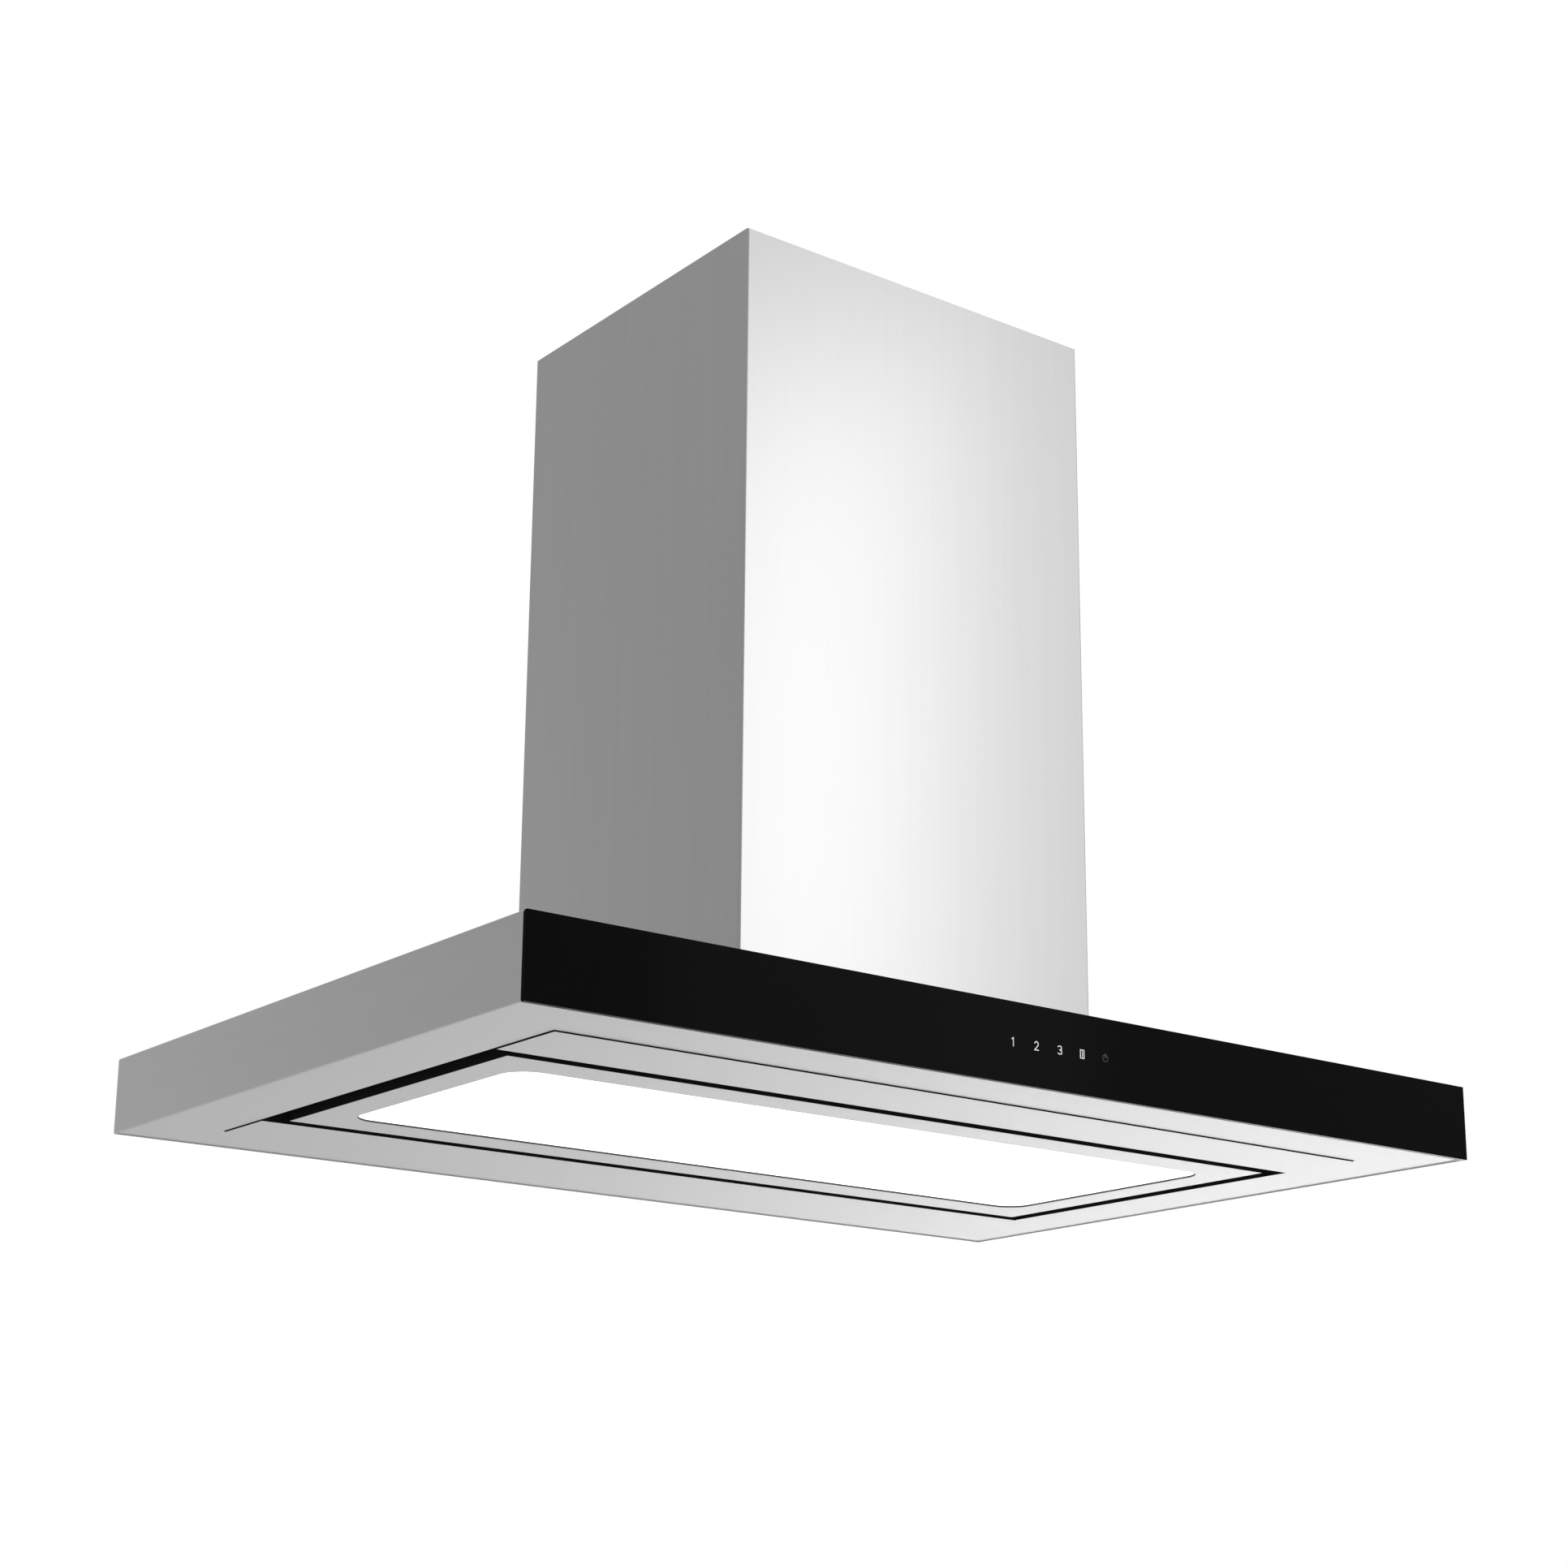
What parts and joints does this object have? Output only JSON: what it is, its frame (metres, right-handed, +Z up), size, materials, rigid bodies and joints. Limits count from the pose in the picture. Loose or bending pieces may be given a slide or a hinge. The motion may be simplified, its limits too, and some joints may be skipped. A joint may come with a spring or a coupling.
{
  "type": "island range hood",
  "caption": "Flat canopy hood hung from the ceiling, with a telescopic box chimney, perimeter suction and a lit hinged panel below.",
  "frame": {"origin": "centre of the ceiling bolt pattern, on the ceiling face of the mount", "axes": "+Z up, +X to the right along the canopy's length, -Y towards the glass front"},
  "size_m": [0.9, 0.6, 0.69],
  "materials": {
    "stainless": "fine brushed grain",
    "inner_steel": "galvanised, faint spangle",
    "screw_steel": "bright zinc",
    "black_glass": "polished, black on its back",
    "tape": "foam tape",
    "circuit_board": "solder mask",
    "black_plastic": "fine moulded texture",
    "grey_plastic": "fine moulded texture",
    "white_plastic": "smooth moulded",
    "motor_metal": "cast and turned",
    "rubber": "matt",
    "wheel_metal": "pressed sheet",
    "diffuser": "opal, lit from behind",
    "led_board": "white solder mask with light-emitting chips",
    "filter_metal": "satin",
    "filter_mesh": "layers of expanded mesh",
    "spring_steel": "sprung steel",
    "cable_sheath": "soft sheath"
  },
  "bodies": {
    "ceiling_mount": {"ceiling_plate": "inner_steel", "upper_legs": "inner_steel", "upper_leg_screws": "screw_steel", "upper_chimney_front": "stainless", "upper_chimney_back": "stainless", "upper_chimney_screws": "screw_steel"},
    "canopy": {"lower_legs": "inner_steel", "clamp_screws": "screw_steel", "lower_chimney_front": "stainless", "lower_chimney_back": "stainless", "lower_chimney_screws": "screw_steel", "chimney_base_frame": "inner_steel", "foot_screws": "screw_steel", "canopy_shell": "stainless", "underside_frame": "stainless", "front_strip": "stainless", "back_strip": "stainless", "filter_tray": "inner_steel", "glass_front": "black_glass", "glass_tape": "tape", "touch_board": "circuit_board", "touch_board_holder": "black_plastic", "control_box": "black_plastic", "control_board": "circuit_board", "control_box_lid": "black_plastic", "led_driver": "white_plastic", "blower_shell_left": "grey_plastic", "blower_shell_right": "grey_plastic", "blower_screws": "screw_steel", "motor": "motor_metal", "motor_bracket": "inner_steel", "motor_grommets": "rubber", "capacitor": "white_plastic", "blower_support_plate": "inner_steel", "support_screws": "screw_steel", "outlet_spigot": "black_plastic", "flap_pins": "screw_steel", "hinge_brackets": "inner_steel", "hinge_pins": "screw_steel", "magnet_catches": "black_plastic", "filter_frame_left": "filter_metal", "filter_frame_right": "filter_metal", "filter_meshes": "filter_mesh", "latch_spring_left": "spring_steel", "latch_spring_right": "spring_steel", "terminal_box": "black_plastic", "terminal_box_lid": "black_plastic", "cable_gland": "black_plastic", "inner_wiring": "cable_sheath"},
    "fan_wheel": {"impeller": "wheel_metal", "motor_shaft": "screw_steel"},
    "damper_front": {"flap_front": "grey_plastic"},
    "damper_back": {"flap_back": "grey_plastic"},
    "light_panel": {"light_panel_pan": "stainless", "light_diffuser": "diffuser", "led_strips": "led_board", "light_panel_cover": "inner_steel", "panel_hinge_leaves": "inner_steel"},
    "latch_left": {"filter_latch_left": "black_plastic"},
    "latch_right": {"filter_latch_right": "black_plastic"}
  },
  "joints": [
    {"name": "height_adjust", "type": "slide", "parent": "ceiling_mount", "child": "canopy", "axis": [0, 0, -1], "range_m": [0, 0.3]},
    {"name": "fan_spin", "type": "hinge", "parent": "canopy", "child": "fan_wheel", "pos_m": [0, -0.0325, -0.505], "axis": [1, 0, 0], "continuous": true},
    {"name": "damper_front_swing", "type": "hinge", "parent": "canopy", "child": "damper_front", "pos_m": [0, -0.0055, -0.3395], "axis": [-1, 0, 0], "range_deg": [0, 75]},
    {"name": "damper_back_swing", "type": "hinge", "parent": "canopy", "child": "damper_back", "pos_m": [0, 0.0055, -0.3395], "axis": [1, 0, 0], "range_deg": [0, 75]},
    {"name": "light_panel_swing", "type": "hinge", "parent": "canopy", "child": "light_panel", "pos_m": [0, 0.153, -0.68], "axis": [1, 0, 0], "range_deg": [0, 90]},
    {"name": "latch_left_slide", "type": "slide", "parent": "canopy", "child": "latch_left", "axis": [-1, 0, 0], "range_m": [0, 0.005], "stiffness_N_per_m": 300, "springref_m": -0.004, "deforming": ["latch_spring_left"]},
    {"name": "latch_right_slide", "type": "slide", "parent": "canopy", "child": "latch_right", "axis": [1, 0, 0], "range_m": [0, 0.005], "stiffness_N_per_m": 300, "springref_m": -0.004, "deforming": ["latch_spring_right"]}
  ]
}
